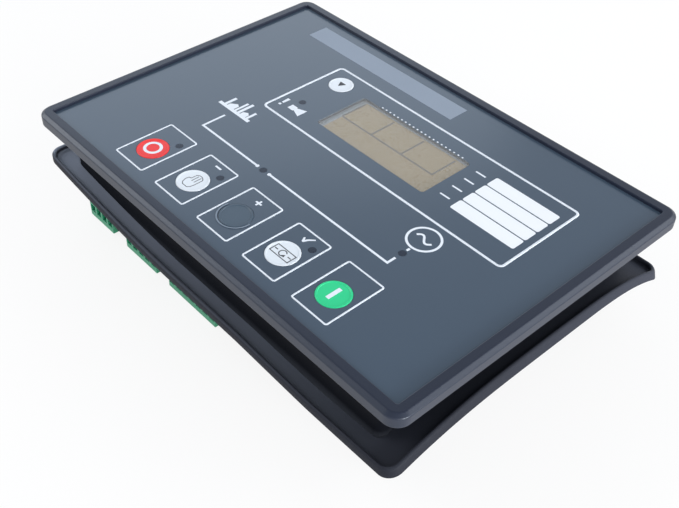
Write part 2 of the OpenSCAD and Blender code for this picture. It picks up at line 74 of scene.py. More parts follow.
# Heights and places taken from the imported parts
FILM_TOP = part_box("front_film")[1].z / MM
GLASS_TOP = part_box("display_glass")[1].z / MM
KEY_RING = 0.2
KEY_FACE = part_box("key_stop")[1].z / MM - KEY_RING
INK = 0.04
KEYS = ("stop", "manual", "spare", "auto", "start", "scroll")


def middle(node):
    """Middle of a part seen from the front, in millimetres."""
    low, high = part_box(node)
    return ((low.x + high.x) / 2 / MM, (low.y + high.y) / 2 / MM)


KEY_AT = {key: middle(f"key_{key}") for key in KEYS}
KEY_PITCH = KEY_AT["manual"][0] - KEY_AT["stop"][0]


# Node helpers

def link(tree, source, target):
    tree.links.new(source, target)


def math_step(tree, operation, *terms):
    """One sum in a tree. Its terms are sockets or plain values."""
    step = tree.nodes.new("ShaderNodeMath")
    step.operation = operation
    for term, socket in zip(terms, step.inputs):
        if isinstance(term, (int, float)):
            socket.default_value = term
        else:
            link(tree, term, socket)
    return step.outputs[0]


def product(tree, shares):
    total = shares[0]
    for share in shares[1:]:
        total = math_step(tree, "MULTIPLY", total, share)
    return total


def split_axes(tree, source):
    """The three axes of a vector as separate sockets, by name."""
    split = tree.nodes.new("ShaderNodeSeparateXYZ")
    link(tree, source, split.inputs[0])
    return split.outputs


def share_along(tree, source, axis, ends):
    """Value that follows one axis of a vector: two ends of the axis, then the value at each."""
    share = tree.nodes.new("ShaderNodeMapRange")
    for label, value in zip(("From Min", "From Max", "To Min", "To Max"), ends):
        share.inputs[label].default_value = value
    link(tree, split_axes(tree, source)[axis], share.inputs["Value"])
    return share.outputs[0]


def blend(tree, share, first, second):
    """First colour where the share is 0 and second where it is 1. Each is a socket or a plain colour."""
    mix = tree.nodes.new("ShaderNodeMix")
    mix.data_type = "RGBA"
    link(tree, share, mix.inputs["Factor"])
    for label, colour in (("A", first), ("B", second)):
        if isinstance(colour, tuple):
            mix.inputs[label].default_value = colour
        else:
            link(tree, colour, mix.inputs[label])
    return mix.outputs["Result"]


# Camera, floor and light

def make_camera():
    azimuth = math.radians(CAMERA_AZIMUTH)
    elevation = math.radians(CAMERA_ELEVATION)
    roll = math.radians(CAMERA_ROLL)
    flat = math.cos(elevation)
    ahead = Vector((-flat * math.sin(azimuth), flat * math.cos(azimuth), -math.sin(elevation)))
    level = Vector((math.cos(azimuth), math.sin(azimuth), 0))
    above = level.cross(ahead)
    right = level * math.cos(roll) + above * math.sin(roll)
    up = above * math.cos(roll) - level * math.sin(roll)
    data = bpy.data.cameras.new("camera")
    data.sensor_width = SENSOR_MM
    data.lens = FOCAL_PX / IMAGE_W * SENSOR_MM
    data.shift_x = -CENTRE_OFFSET_PX[0] / IMAGE_W
    data.shift_y = CENTRE_OFFSET_PX[1] / IMAGE_W
    data.clip_start = 0.01
    camera = bpy.data.objects.new("camera", data)
    bpy.context.scene.collection.objects.link(camera)
    turn = Matrix((right, up, -ahead)).transposed().to_4x4()
    camera.matrix_world = Matrix.Translation(Vector(CAMERA_AT) * MM) @ turn
    bpy.context.scene.camera = camera


def seen_share(tree, share):
    """Value that is the share for rays from the camera or a shiny or clear surface, and otherwise 0."""
    path = tree.nodes.new("ShaderNodeLightPath")
    total = path.outputs["Is Camera Ray"]
    for label in ("Is Glossy Ray", "Is Transmission Ray"):
        total = math_step(tree, "MAXIMUM", total, path.outputs[label])
    return math_step(tree, "MULTIPLY", total, share)


def make_world():
    """White tent: bright sides and a darker top."""
    world = bpy.data.worlds.new("studio")
    bpy.context.scene.world = world
    world.use_nodes = True
    tree = world.node_tree
    room = tree.nodes["Background"]
    room.inputs["Color"].default_value = TENT_COLOUR
    place = tree.nodes.new("ShaderNodeTexCoord")
    strength = share_along(tree, place.outputs["Generated"], "Z", TENT_FALL)
    link(tree, strength, room.inputs["Strength"])


def make_floor():
    mesh = bpy.data.meshes.new("floor")
    corners = [(x, y, 0) for x, y in bar(-FLOOR_HALF, -FLOOR_HALF, FLOOR_HALF, FLOOR_HALF)]
    mesh.from_pydata(corners, [], [(0, 1, 2, 3)])
    floor = bpy.data.objects.new("floor", mesh)
    bpy.context.scene.collection.objects.link(floor)
    material = bpy.data.materials.new("floor_white")
    material.use_nodes = True
    tree = material.node_tree
    tree.nodes.clear()
    out = tree.nodes.new("ShaderNodeOutputMaterial")
    paper = tree.nodes.new("ShaderNodeBsdfDiffuse")
    paper.inputs["Color"].default_value = FLOOR_COLOUR
    glow = tree.nodes.new("ShaderNodeEmission")
    mix = tree.nodes.new("ShaderNodeMixShader")
    link(tree, seen_share(tree, FLOOR_GLOW), mix.inputs[0])
    link(tree, paper.outputs[0], mix.inputs[1])
    link(tree, glow.outputs[0], mix.inputs[2])
    link(tree, mix.outputs[0], out.inputs["Surface"])
    mesh.materials.append(material)


def make_lamp(name, at, aim, size, power, colour):
    data = bpy.data.lights.new(name, "AREA")
    data.shape = "RECTANGLE"
    data.size, data.size_y = size
    data.energy = power
    data.color = colour
    lamp = bpy.data.objects.new(name, data)
    bpy.context.scene.collection.objects.link(lamp)
    lamp.location = at
    lamp.rotation_euler = (Vector(aim) - Vector(at)).to_track_quat("-Z", "Y").to_euler()


def make_light():
    for name, settings in LAMPS.items():
        make_lamp(name, *settings)


# Finishes. Pairs of roughness are for the lows and highs of the grain

SATIN = (0.32, 0.45)
MATT = (0.5, 0.65)
GRAIN_DETAIL = 3
GRAIN_RANGE = (0.3, 0.7)
DRIFT_SCALE = 28
DRIFT_DETAIL = 2
RELIEF_DEPTH = 0.0001

# Edges of the field that the display can show, in millimetres
DISPLAY_FIELD = (("X", "GREATER_THAN", -27.1), ("Y", "GREATER_THAN", 12.2), ("Y", "LESS_THAN", 41.9))

# Two ends of an axis, in metres or for a normal from 0 to 1, and then the value at each end
# Painted light on the gasket: paler on faces turned up, most of all at the left, and less on the near lip's
# top
PAINTED_LIGHT_UPWARD = (0.2, 0.95, 0.0, 1.0)
PAINTED_LIGHT_LEFTWARD = (-0.12, 0.11, 1.0, 0.04)
PAINTED_LIGHT_OFF_LIP = (-0.0846, -0.0836, 0.35, 1.0)
# Painted shade on the gasket: darker at its near side, paler towards its far side
PAINTED_LIGHT_FARTHER = (-0.05, 0.08, 0.0, 1.0)
# Painted shade on the case: darkest right under the bezel
CASE_PAINTED_SHADE = (0.02, 0.027, 0.0, 1.0)


def shader_group(name, inputs, outputs):
    tree = bpy.data.node_groups.new(name, "ShaderNodeTree")
    for label, kind, value in inputs:
        socket = tree.interface.new_socket(label, in_out="INPUT", socket_type=kind)
        socket.default_value = value
    for label, kind in outputs:
        tree.interface.new_socket(label, in_out="OUTPUT", socket_type=kind)
    return tree, tree.nodes.new("NodeGroupInput"), tree.nodes.new("NodeGroupOutput")


def make_moulded_finish():
    """Surface of a moulded or printed piece: slow colour drift, fine grain and uneven gloss."""
    tree, given, result = shader_group(
        "moulded_finish",
        (("Colour", "NodeSocketColor", (0.1, 0.1, 0.1, 1)), ("Drift", "NodeSocketFloat", 0.1),
         ("Grain Scale", "NodeSocketFloat", 2500.0), ("Rough Low", "NodeSocketFloat", 0.35),
         ("Rough High", "NodeSocketFloat", 0.5)),
        (("Colour", "NodeSocketColor"), ("Roughness", "NodeSocketFloat"), ("Height", "NodeSocketFloat")))
    place = tree.nodes.new("ShaderNodeTexCoord")
    grain = tree.nodes.new("ShaderNodeTexNoise")
    grain.inputs["Detail"].default_value = GRAIN_DETAIL
    slow = tree.nodes.new("ShaderNodeTexNoise")
    slow.inputs["Scale"].default_value = DRIFT_SCALE
    slow.inputs["Detail"].default_value = DRIFT_DETAIL
    link(tree, place.outputs["Object"], grain.inputs["Vector"])
    link(tree, place.outputs["Object"], slow.inputs["Vector"])
    link(tree, given.outputs["Grain Scale"], grain.inputs["Scale"])
    amount = math_step(tree, "MULTIPLY_ADD", slow.outputs["Fac"], 2, -1)
    shade = math_step(tree, "MULTIPLY_ADD", amount, given.outputs["Drift"], 1)
    tint = tree.nodes.new("ShaderNodeVectorMath")
    tint.operation = "SCALE"
    link(tree, given.outputs["Colour"], tint.inputs[0])
    link(tree, shade, tint.inputs["Scale"])
    gloss = tree.nodes.new("ShaderNodeMapRange")
    gloss.inputs["From Min"].default_value = GRAIN_RANGE[0]
    gloss.inputs["From Max"].default_value = GRAIN_RANGE[1]
    link(tree, grain.outputs["Fac"], gloss.inputs["Value"])
    link(tree, given.outputs["Rough Low"], gloss.inputs["To Min"])
    link(tree, given.outputs["Rough High"], gloss.inputs["To Max"])
    link(tree, tint.outputs[0], result.inputs["Colour"])
    link(tree, gloss.outputs[0], result.inputs["Roughness"])
    link(tree, grain.outputs["Fac"], result.inputs["Height"])
    return tree


MOULDED = make_moulded_finish()


def srgb(red, green, blue):
    """Linear colour of a screen colour given in 0 to 255."""
    values = []
    for part in (red / 255, green / 255, blue / 255):
        values.append(part / 12.92 if part <= 0.04045 else ((part + 0.055) / 1.055) ** 2.4)
    return (*values, 1)


def moulded(name, colour, rough, drift=0.08, grain=2500, bump=0.15, **sockets):
    """Material of a moulded or printed surface. Further words set sockets of its shader."""
    material = bpy.data.materials.new(name)
    material.use_nodes = True
    tree = material.node_tree
    shader = tree.nodes["Principled BSDF"]
    finish = tree.nodes.new("ShaderNodeGroup")
    finish.node_tree = MOULDED
    given = {"Colour": colour, "Drift": drift, "Grain Scale": grain,
             "Rough Low": rough[0], "Rough High": rough[1]}
    for label, value in given.items():
        finish.inputs[label].default_value = value
    relief = tree.nodes.new("ShaderNodeBump")
    relief.inputs["Strength"].default_value = bump
    relief.inputs["Distance"].default_value = RELIEF_DEPTH
    link(tree, finish.outputs["Colour"], shader.inputs["Base Color"])
    link(tree, finish.outputs["Roughness"], shader.inputs["Roughness"])
    link(tree, finish.outputs["Height"], relief.inputs["Height"])
    link(tree, relief.outputs["Normal"], shader.inputs["Normal"])
    for socket, value in sockets.items():
        shader.inputs[socket.replace("_", " ")].default_value = value
    return material


def own_colour(tree):
    """Colour that a moulded material's finish gives."""
    return next(node for node in tree.nodes if node.type == "GROUP").outputs["Colour"]


def repaint(tree, colour):
    link(tree, colour, tree.nodes["Principled BSDF"].inputs["Base Color"])


def object_place(tree):
    return tree.nodes.new("ShaderNodeTexCoord").outputs["Object"]


def make_display_finish():
    """Unlit khaki glass with a pale margin round the field that it can show."""
    material = moulded("display_khaki", srgb(130, 110, 66), (0.25, 0.32), drift=0.05, grain=900, bump=0.02)
    tree = material.node_tree
    axes = split_axes(tree, object_place(tree))
    tests = [math_step(tree, test, axes[axis], edge * MM) for axis, test, edge in DISPLAY_FIELD]
    repaint(tree, blend(tree, product(tree, tests), srgb(112, 122, 132), own_colour(tree)))
    return material


def make_rubber_finish():
    """Black rubber with painted light and shade: paler on its upper side, most of all at the left, and paler
    at its far side.
    """
    material = moulded("black_rubber", srgb(135, 143, 158), MATT, drift=0.12, grain=1800, bump=0.2,
                       Specular_IOR_Level=0.12)
    tree = material.node_tree
    normal = tree.nodes.new("ShaderNodeNewGeometry").outputs["Normal"]
    place = object_place(tree)
    # Painted light: share of the finish's pale colour on faces turned up, at the left, and less on the near
    # lip's top
    painted_light_share = product(tree, (share_along(tree, normal, "Z", PAINTED_LIGHT_UPWARD),
                          share_along(tree, place, "X", PAINTED_LIGHT_LEFTWARD),
                          share_along(tree, place, "Y", PAINTED_LIGHT_OFF_LIP)))
    # Painted shade: the rubber is darker at its near side and paler at its far side
    paler_far_share = share_along(tree, place, "Y", PAINTED_LIGHT_FARTHER)
    shaded_rubber = blend(tree, paler_far_share, srgb(36, 38, 46), srgb(54, 57, 67))
    repaint(tree, blend(tree, painted_light_share, shaded_rubber, own_colour(tree)))
    return material


def make_case_finish():
    """Black moulding with painted shade: paler behind and darkest right under the bezel."""
    material = moulded("case_moulding", srgb(64, 67, 74), MATT, grain=3000, bump=0.25, Specular_IOR_Level=0.1)
    tree = material.node_tree
    # Painted shade: darkest from just above the gasket up to the bezel
    shade_share = share_along(tree, object_place(tree), "Z", CASE_PAINTED_SHADE)
    repaint(tree, blend(tree, shade_share, own_colour(tree), srgb(13, 15, 21)))
    return material


FINISH = {
    "moulding": moulded("black_moulding", srgb(30, 36, 52), (0.32, 0.43), grain=3000, bump=0.25,
                        Specular_Tint=(0.86, 0.93, 1.0, 1)),
    "film": moulded("slate_film", srgb(67, 82, 98), (0.17, 0.23), drift=0.03, grain=5000, bump=0.06),
    "case": make_case_finish(),
    "rubber": make_rubber_finish(),
    "ink": moulded("white_ink", srgb(226, 233, 242), MATT, drift=0.02, bump=0.05),
    "dark_ink": moulded("dark_ink", srgb(58, 62, 68), MATT, drift=0.04, bump=0.05),
    # Painted highlight on the spare key's raised rim
    "ring": moulded("painted_rim_highlight", srgb(116, 130, 146), SATIN, drift=0.04, bump=0.05),
    "grid": moulded("grid_ink", srgb(62, 56, 46), MATT, drift=0.04, bump=0.05),
    "title": moulded("title_strip", srgb(138, 150, 166), MATT, drift=0.05, bump=0.05),
    "label": moulded("white_label", srgb(236, 240, 246), MATT, drift=0.02, grain=1500, bump=0.08),
    "lens": moulded("smoked_lens", srgb(34, 44, 60), (0.25, 0.35), drift=0.1, bump=0.03,
                    Specular_IOR_Level=0.3),
    "red": moulded("red_key", srgb(232, 34, 34), SATIN, drift=0.04, bump=0.05),
    "green": moulded("green_key", srgb(26, 204, 136), SATIN, drift=0.04, bump=0.05),
    "white": moulded("white_key", srgb(222, 229, 236), SATIN, drift=0.03, bump=0.05),
    "slate": moulded("slate_key", srgb(62, 80, 96), SATIN, drift=0.05, bump=0.06),
    "terminal": moulded("green_terminal", srgb(38, 138, 100), (0.35, 0.5), drift=0.08, bump=0.1),
    "board": moulded("board_laminate", srgb(30, 92, 52), (0.3, 0.4), drift=0.15, grain=600, bump=0.1),
    "black": moulded("black_plastic", srgb(34, 34, 36), SATIN, drift=0.1, bump=0.15),
    "pale": moulded("pale_plastic", srgb(220, 220, 214), SATIN, drift=0.04, bump=0.1),
    "steel": moulded("plated_steel", srgb(190, 192, 196), (0.2, 0.35), drift=0.06, bump=0.1, Metallic=1.0),
    "brass": moulded("brass_pin", srgb(214, 176, 92), (0.2, 0.35), drift=0.06, bump=0.1, Metallic=1.0),
    "copper": moulded("copper_winding", srgb(176, 96, 54), (0.25, 0.4), drift=0.15, grain=900, Metallic=1.0),
    "can": moulded("capacitor_sleeve", srgb(42, 48, 84), SATIN, drift=0.06, bump=0.1),
    "window": moulded("clear_window", srgb(235, 235, 230), (0.04, 0.08), drift=0.02, bump=0.01, Alpha=0.12),
    "display": make_display_finish(),
}
FINISH_OF = {
    "front_bezel": "moulding", "case_body": "case", "rear_cover": "case", "front_film": "film",
    "display_window": "window", "label_strips": "label", "lamp_lenses": "lens", "panel_gasket": "rubber",
    "case_screws": "steel", "front_board_screws": "steel", "power_board_screws": "steel",
    "terminal_clamps": "steel", "terminal_screws": "steel", "front_board": "board", "power_board": "board",
    "lamps": "pale", "backlight": "pale", "key_switches": "black", "processor": "black",
    "display_holder": "black", "board_link": "black", "relays": "black", "sensing_transformers": "black",
    "supply_capacitors": "can", "supply_choke": "copper", "socket_pins": "brass", "display_glass": "display",
    "key_stop": "red", "key_manual": "white", "key_spare": "slate", "key_auto": "white",
    "key_start": "green", "key_scroll": "white",
}
FINISH_OF_GROUP = {"terminal_plug": "terminal", "terminal_socket": "terminal", "plunger": "pale"}


def dress_parts():
    for name, part in NODES.items():
        finish = FINISH_OF.get(name) or FINISH_OF_GROUP[name.rsplit("_", 1)[0]]
        part.data.materials.clear()
        part.data.materials.append(FINISH[finish])


# Printed shapes: outlines in millimetres, raised a hair above the surface that carries them

def prism(mesh, outline, low, high):
    """Closed prism over an outline that runs anticlockwise."""
    bottom = [mesh.verts.new((x * MM, y * MM, low * MM)) for x, y in outline]
    top = [mesh.verts.new((x * MM, y * MM, high * MM)) for x, y in outline]
    mesh.faces.new(top)
    mesh.faces.new(list(reversed(bottom)))
    count = len(outline)
    for i in range(count):
        k = (i + 1) % count
        mesh.faces.new((bottom[i], bottom[k], top[k], top[i]))


MITRE_LEAST = 0.4


def ribbon(mesh, points, width, low, high, closed=False):
    """Line of even width along points, mitred at its corners. The least cosine keeps sharp corners short."""
    count = len(points)
    sides = []
    for i, point in enumerate(points):
        here = Vector(point)
        before = Vector(points[i - 1]) if closed or i else None
        after = Vector(points[(i + 1) % count]) if closed or i < count - 1 else None
        into = (here - before).normalized() if before else None
        out = (after - here).normalized() if after else None
        across_in = Vector((-into.y, into.x)) if into else None
        across_out = Vector((-out.y, out.x)) if out else None
        across = across_in or across_out
        if across_in and across_out:
            across = (across_in + across_out).normalized()
            across = across / max(MITRE_LEAST, across.dot(across_in))
        sides.append((here + across * width / 2, here - across * width / 2))
    rings = []
    for left, right in sides:
        rings.append([mesh.verts.new((p.x * MM, p.y * MM, z * MM))
                      for p, z in ((left, low), (right, low), (right, high), (left, high))])
    spans = range(count) if closed else range(count - 1)
    for i in spans:
        a, b = rings[i], rings[(i + 1) % count]
        for j in range(4):
            k = (j + 1) % 4
            mesh.faces.new((a[j], a[k], b[k], b[j]))
    if not closed:
        mesh.faces.new(list(reversed(rings[0])))
        mesh.faces.new(rings[-1])


def circle(centre, radius, steps=40):
    return [(centre[0] + radius * math.cos(2 * math.pi * i / steps),
             centre[1] + radius * math.sin(2 * math.pi * i / steps)) for i in range(steps)]


def arc(centre, radius, start, turn, steps):
    """Points along part of a circle, from a start angle by a turn, both in degrees."""
    angles = [math.radians(start + turn * i / steps) for i in range(steps + 1)]
    return [(centre[0] + radius * math.cos(a), centre[1] + radius * math.sin(a)) for a in angles]


def moved(outline, by):
    return [(by[0] + x, by[1] + y) for x, y in outline]


def bar(x0, y0, x1, y1):
    return [(x0, y0), (x1, y0), (x1, y1), (x0, y1)]


class Print:
    """Collects shapes of one colour on one surface and makes them one piece."""

    def __init__(self, name, finish, slot, body=HOUSING, surface=FILM_TOP):
        self.name = name
        self.finish = finish
        self.slot = slot
        self.body = body
        self.low = surface
        self.high = surface + INK
        self.mesh = bmesh.new()

    def solid(self, outline):
        prism(self.mesh, outline, self.low, self.high)

    def line(self, points, width, closed=False):
        ribbon(self.mesh, points, width, self.low, self.high, closed)

    def done(self):
        bmesh.ops.recalc_face_normals(self.mesh, faces=self.mesh.faces)
        data = bpy.data.meshes.new(self.name)
        self.mesh.to_mesh(data)
        self.mesh.free()
        add_piece(self.name, data, self.finish, self.body)


def add_piece(name, data, finish, body):
    piece = bpy.data.objects.new(name, data)
    bpy.context.scene.collection.objects.link(piece)
    data.materials.clear()
    data.materials.append(FINISH[finish])
    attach(piece, body)
    return piece


# Rows of repeated prints, made by geometry nodes

def geometry_tree(name, inputs):
    tree = bpy.data.node_groups.new(name, "GeometryNodeTree")
    tree.interface.new_socket("Geometry", in_out="OUTPUT", socket_type="NodeSocketGeometry")
    for label, kind in inputs:
        tree.interface.new_socket(label, in_out="INPUT", socket_type=kind)
    return tree, tree.nodes.new("NodeGroupInput"), tree.nodes.new("NodeGroupOutput")


def finish_tree(tree, geometry, result, given):
    real = tree.nodes.new("GeometryNodeRealizeInstances")
    paint = tree.nodes.new("GeometryNodeSetMaterial")
    link(tree, geometry, real.inputs[0])
    link(tree, real.outputs[0], paint.inputs["Geometry"])
    link(tree, given.outputs["Material"], paint.inputs["Material"])
    link(tree, paint.outputs[0], result.inputs[0])


def row_of_points(tree, given):
    row = tree.nodes.new("GeometryNodeMeshLine")
    row.mode = "OFFSET"
    link(tree, given.outputs["Count"], row.inputs["Count"])
    link(tree, given.outputs["Start"], row.inputs["Start Location"])
    link(tree, given.outputs["Step"], row.inputs["Offset"])
    return row


ROW_INPUTS = (("Count", "NodeSocketInt"), ("Start", "NodeSocketVector"), ("Step", "NodeSocketVector"),
              ("Width", "NodeSocketFloat"), ("Height", "NodeSocketFloat"), ("Ink", "NodeSocketFloat"),
              ("Material", "NodeSocketMaterial"))


def make_outline_row():
    """Row of rectangles drawn as lines with round corners."""
    tree, given, result = geometry_tree(
        "outline_row", ROW_INPUTS + (("Corner", "NodeSocketFloat"), ("Line", "NodeSocketFloat")))
    row = row_of_points(tree, given)
    frame_line = tree.nodes.new("GeometryNodeCurvePrimitiveQuadrilateral")
    link(tree, given.outputs["Width"], frame_line.inputs["Width"])
    link(tree, given.outputs["Height"], frame_line.inputs["Height"])
    rounded = tree.nodes.new("GeometryNodeFilletCurve")
    rounded.mode = "POLY"
    rounded.inputs["Count"].default_value = 8
    link(tree, frame_line.outputs[0], rounded.inputs["Curve"])
    link(tree, given.outputs["Corner"], rounded.inputs["Radius"])
    section = tree.nodes.new("GeometryNodeCurvePrimitiveQuadrilateral")
    link(tree, given.outputs["Line"], section.inputs["Width"])
    link(tree, given.outputs["Ink"], section.inputs["Height"])
    drawn = tree.nodes.new("GeometryNodeCurveToMesh")
    link(tree, rounded.outputs[0], drawn.inputs["Curve"])
    link(tree, section.outputs[0], drawn.inputs["Profile Curve"])
    place = tree.nodes.new("GeometryNodeInstanceOnPoints")
    link(tree, row.outputs[0], place.inputs["Points"])
    link(tree, drawn.outputs[0], place.inputs["Instance"])
    finish_tree(tree, place.outputs[0], result, given)
    return tree


def make_bar_row():
    """Row of small solid bars."""
    tree, given, result = geometry_tree("bar_row", ROW_INPUTS)
    row = row_of_points(tree, given)
    size = tree.nodes.new("ShaderNodeCombineXYZ")
    link(tree, given.outputs["Width"], size.inputs["X"])
    link(tree, given.outputs["Height"], size.inputs["Y"])
    link(tree, given.outputs["Ink"], size.inputs["Z"])
    block = tree.nodes.new("GeometryNodeMeshCube")
    link(tree, size.outputs[0], block.inputs["Size"])
    place = tree.nodes.new("GeometryNodeInstanceOnPoints")
    link(tree, row.outputs[0], place.inputs["Points"])
    link(tree, block.outputs[0], place.inputs["Instance"])
    finish_tree(tree, place.outputs[0], result, given)
    return tree


def grow(name, tree, values, finish, body=HOUSING, start=None):
    """Runs a geometry tree with named values, on a start mesh if it takes one, and keeps a plain mesh."""
    maker = bpy.data.objects.new(name, start or bpy.data.meshes.new(name))
    bpy.context.scene.collection.objects.link(maker)
    modifier = maker.modifiers.new("grow", "NODES")
    modifier.node_group = tree
    values = {**values, "Material": FINISH[finish]}
    for item in tree.interface.items_tree:
        if item.in_out == "INPUT" and item.name in values:
            modifier[item.identifier] = values[item.name]
    seen = maker.evaluated_get(bpy.context.evaluated_depsgraph_get())
    data = bpy.data.meshes.new_from_object(seen)
    bpy.data.objects.remove(maker)
    data.name = name
    return add_piece(name, data, finish, body)


def ink_row(count, start, step, width, height, **more):
    """Values of a row of prints on the film, from sizes in millimetres."""
    values = {
        "Count": count,
        "Start": (start[0] * MM, start[1] * MM, (FILM_TOP + INK / 2) * MM),
        "Step": (step[0] * MM, step[1] * MM, 0),
        "Width": width * MM, "Height": height * MM, "Ink": INK * MM,
    }
    values.update({label: size * MM for label, size in more.items()})
    return values


# Front prints

KEY_FRAMES = 5
KEY_FRAME_W, KEY_FRAME_H = 20.1, 30.6
KEY_FRAME_X = KEY_AT["stop"][0] + 0.15
KEY_FRAME_Y = -57.65
KEY_FRAME_CORNER = 0.9
KEY_FRAME_LINE = 0.82
GROUP_LEFT, GROUP_RIGHT = -57.4, 92.9
GROUP_LOW, GROUP_HIGH = 1.4, 52.8
GROUP_CORNER = 2.2
GROUP_LINE = 1.22
LABELS = 4
TICK_X = 47.3
TICK_SIZE = (5.6, 0.9)
MARKS = 21
MARK_X, MARK_STEP = -18.3, 2.6
MARK_RISE = 0.6
MARK_SIZE = (0.85, 0.75)
LINE = 1.1


def print_frames():
    outlines = make_outline_row()
    bars = make_bar_row()
    frames = ink_row(KEY_FRAMES, (KEY_FRAME_X, KEY_FRAME_Y), (KEY_PITCH, 0), KEY_FRAME_W, KEY_FRAME_H,
                     Corner=KEY_FRAME_CORNER, Line=KEY_FRAME_LINE)
    grow("key_frames", outlines, frames, "ink")
    group_at = ((GROUP_LEFT + GROUP_RIGHT) / 2, (GROUP_LOW + GROUP_HIGH) / 2)
    group = ink_row(1, group_at, (0, 0), GROUP_RIGHT - GROUP_LEFT, GROUP_HIGH - GROUP_LOW,
                    Corner=GROUP_CORNER, Line=GROUP_LINE)
    grow("display_outline", outlines, group, "ink")
    labels_low, labels_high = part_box("label_strips")
    tick_step = (labels_high.y - labels_low.y) / MM / LABELS
    ticks = ink_row(LABELS, (TICK_X, labels_low.y / MM + tick_step / 2), (0, tick_step), *TICK_SIZE)
    grow("label_ticks", bars, ticks, "ink")
    window_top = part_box("display_window")[1].y / MM
    marks = ink_row(MARKS, (MARK_X, window_top + MARK_RISE), (MARK_STEP, 0), *MARK_SIZE)
    grow("display_marks", bars, marks, "ink")


def print_title():
    strip = Print("title_strip", "title", "slate_film")
    strip.solid(bar(-92.9, 61.6, 9.5, 73.6))
    strip.done()


def print_alarm_signs():
    signs = Print("alarm_signs", "ink", "white_label")
    signs.solid([(-53.7, 9.7), (-52.5, 9.7), (-52.2, 14.0), (-54.0, 14.0)])
    signs.solid(bar(-53.8, 7.4, -52.4, 8.7))
    horn = [(-48.3, 8.75), (-44.7, 8.75), (-44.7, 9.45), (-39.5, 7.45), (-39.5, 13.65), (-44.7, 11.55),
            (-44.7, 12.25), (-48.3, 12.25)]
    signs.solid(horn)
    signs.done()


def print_line_diagram():
    """Load, breaker and generator: a line with a gap at the breaker's lamp, and a ring with a wave."""
    diagram = Print("line_diagram", "ink", "white_label")
    load_x, load_end = KEY_AT["stop"][0], -18.3
    breaker_x, line_y = nearest_lamp(-17, -31)
    generator_x = nearest_lamp(61, -23)[0]
    below_lamp, above_lamp, ring_foot = -26.7, -20.2, -18.4
    gap, dot = 4.2, 0.95
    ring_at, ring_radius = (generator_x - 0.15, -9.85), 7.4
    wave_half, wave_rise, wave_line = 4.3, 1.7, 1.05
    diagram.line([(load_x, load_end), (load_x, line_y), (breaker_x - gap - dot, line_y)], LINE)
    diagram.line([(breaker_x + gap + dot, line_y), (generator_x, line_y), (generator_x, below_lamp)], LINE)
    diagram.line([(generator_x, above_lamp), (generator_x, ring_foot)], LINE)
    for side in (-1, 1):
        diagram.solid(circle((breaker_x + side * gap, line_y), dot, 16))
    diagram.line(circle(ring_at, ring_radius, 48), LINE, closed=True)
    shares = [i / 12 - 1 for i in range(25)]
    wave = [(t * wave_half, -wave_rise * math.sin(math.pi * t)) for t in shares]
    diagram.line(moved(wave, ring_at), wave_line)
    diagram.done()


def lamp_places():
    """Middles of the separate lamps seen from the front, found from the part's loose pieces."""
    mesh = bmesh.new()
    mesh.from_mesh(NODES["lamps"].data)
    bmesh.ops.remove_doubles(mesh, verts=mesh.verts, dist=0.01 * MM)
    left = set(mesh.verts)
    places = []
    while left:
        todo = [left.pop()]
        found = []
        while todo:
            vert = todo.pop()
            found.append(vert.co.copy())
            for edge in vert.link_edges:
                other = edge.other_vert(vert)
                if other in left:
                    left.remove(other)
                    todo.append(other)
        total = (sum(p.x for p in found), sum(p.y for p in found))
        places.append((total[0] / len(found) / MM, total[1] / len(found) / MM))
    mesh.free()
    return places


def nearest_lamp(x, y):
    return min(lamp_places(), key=lambda p: (p[0] - x) ** 2 + (p[1] - y) ** 2)


def print_plant():
    plant = Print("load_sign", "ink", "white_label")
    plant.solid(bar(-73.3, -14.1, -50.9, -12.2))
    plant.solid(bar(-70.7, -12.2, -69.1, -5.4))
    plant.solid([(-68.5, -12.2), (-63.7, -12.2), (-63.7, -9.0), (-65.5, -8.0), (-68.5, -10.4)])
    plant.solid(bar(-63.1, -12.2, -61.8, -4.0))
    plant.solid(bar(-60.9, -12.2, -59.3, -2.7))
    plant.solid([(-58.7, -12.2), (-54.8, -12.2), (-54.8, -10.0), (-56.5, -8.8), (-58.7, -10.2)])
    plant.solid(bar(-54.4, -12.2, -53.0, -6.2))
    plant.done()


def plus_sign(x, y, arm, half):
    """Outline of a plus sign."""
    quarter = [(arm, -half), (arm, half), (half, half)]
    points = []
    for turn in range(4):
        for px, py in quarter:
            for _ in range(turn):
                px, py = -py, px
            points.append((x + px, y + py))
    return points


def print_key_signs():
    """Hints above three keys and a sign on each key."""
    hints = Print("key_hints", "ink", "white_label")
    hints.solid(moved(bar(-2.0, 13.6, 1.8, 14.6), KEY_AT["manual"]))
    x, y = KEY_AT["spare"]
    hints.solid(plus_sign(x, y + 12.35, 1.8, 0.45))
    tick = [(-1.9, 12.9), (-0.7, 10.6), (0.1, 10.6), (1.2, 12.9), (3.1, 15.2), (2.5, 15.5),
            (0.6, 13.6), (-0.4, 12.1), (-1.2, 13.3)]
    hints.solid(moved(tick, KEY_AT["auto"]))
    hints.done()

    off = Print("stop_ring", "ink", "white_label", "stop_key", KEY_FACE)
    off.line(moved(circle((-0.4, 0.36), 3.8), KEY_AT["stop"]), 1.45, closed=True)
    off.done()
    on = Print("start_bar", "ink", "white_label", "start_key", KEY_FACE)
    on.solid(moved(bar(-1.25, -3.35, 0.65, 4.05), KEY_AT["start"]))
    on.done()
    print_hand()
    print_cycle()
    print_spare_rim_highlight()
    arrow = Print("scroll_arrow", "dark_ink", "slate_key", "scroll_key", KEY_FACE)
    arrow.solid(moved([(-2.4, 1.85), (-0.4, -1.85), (1.6, 1.85)], KEY_AT["scroll"]))
    arrow.done()


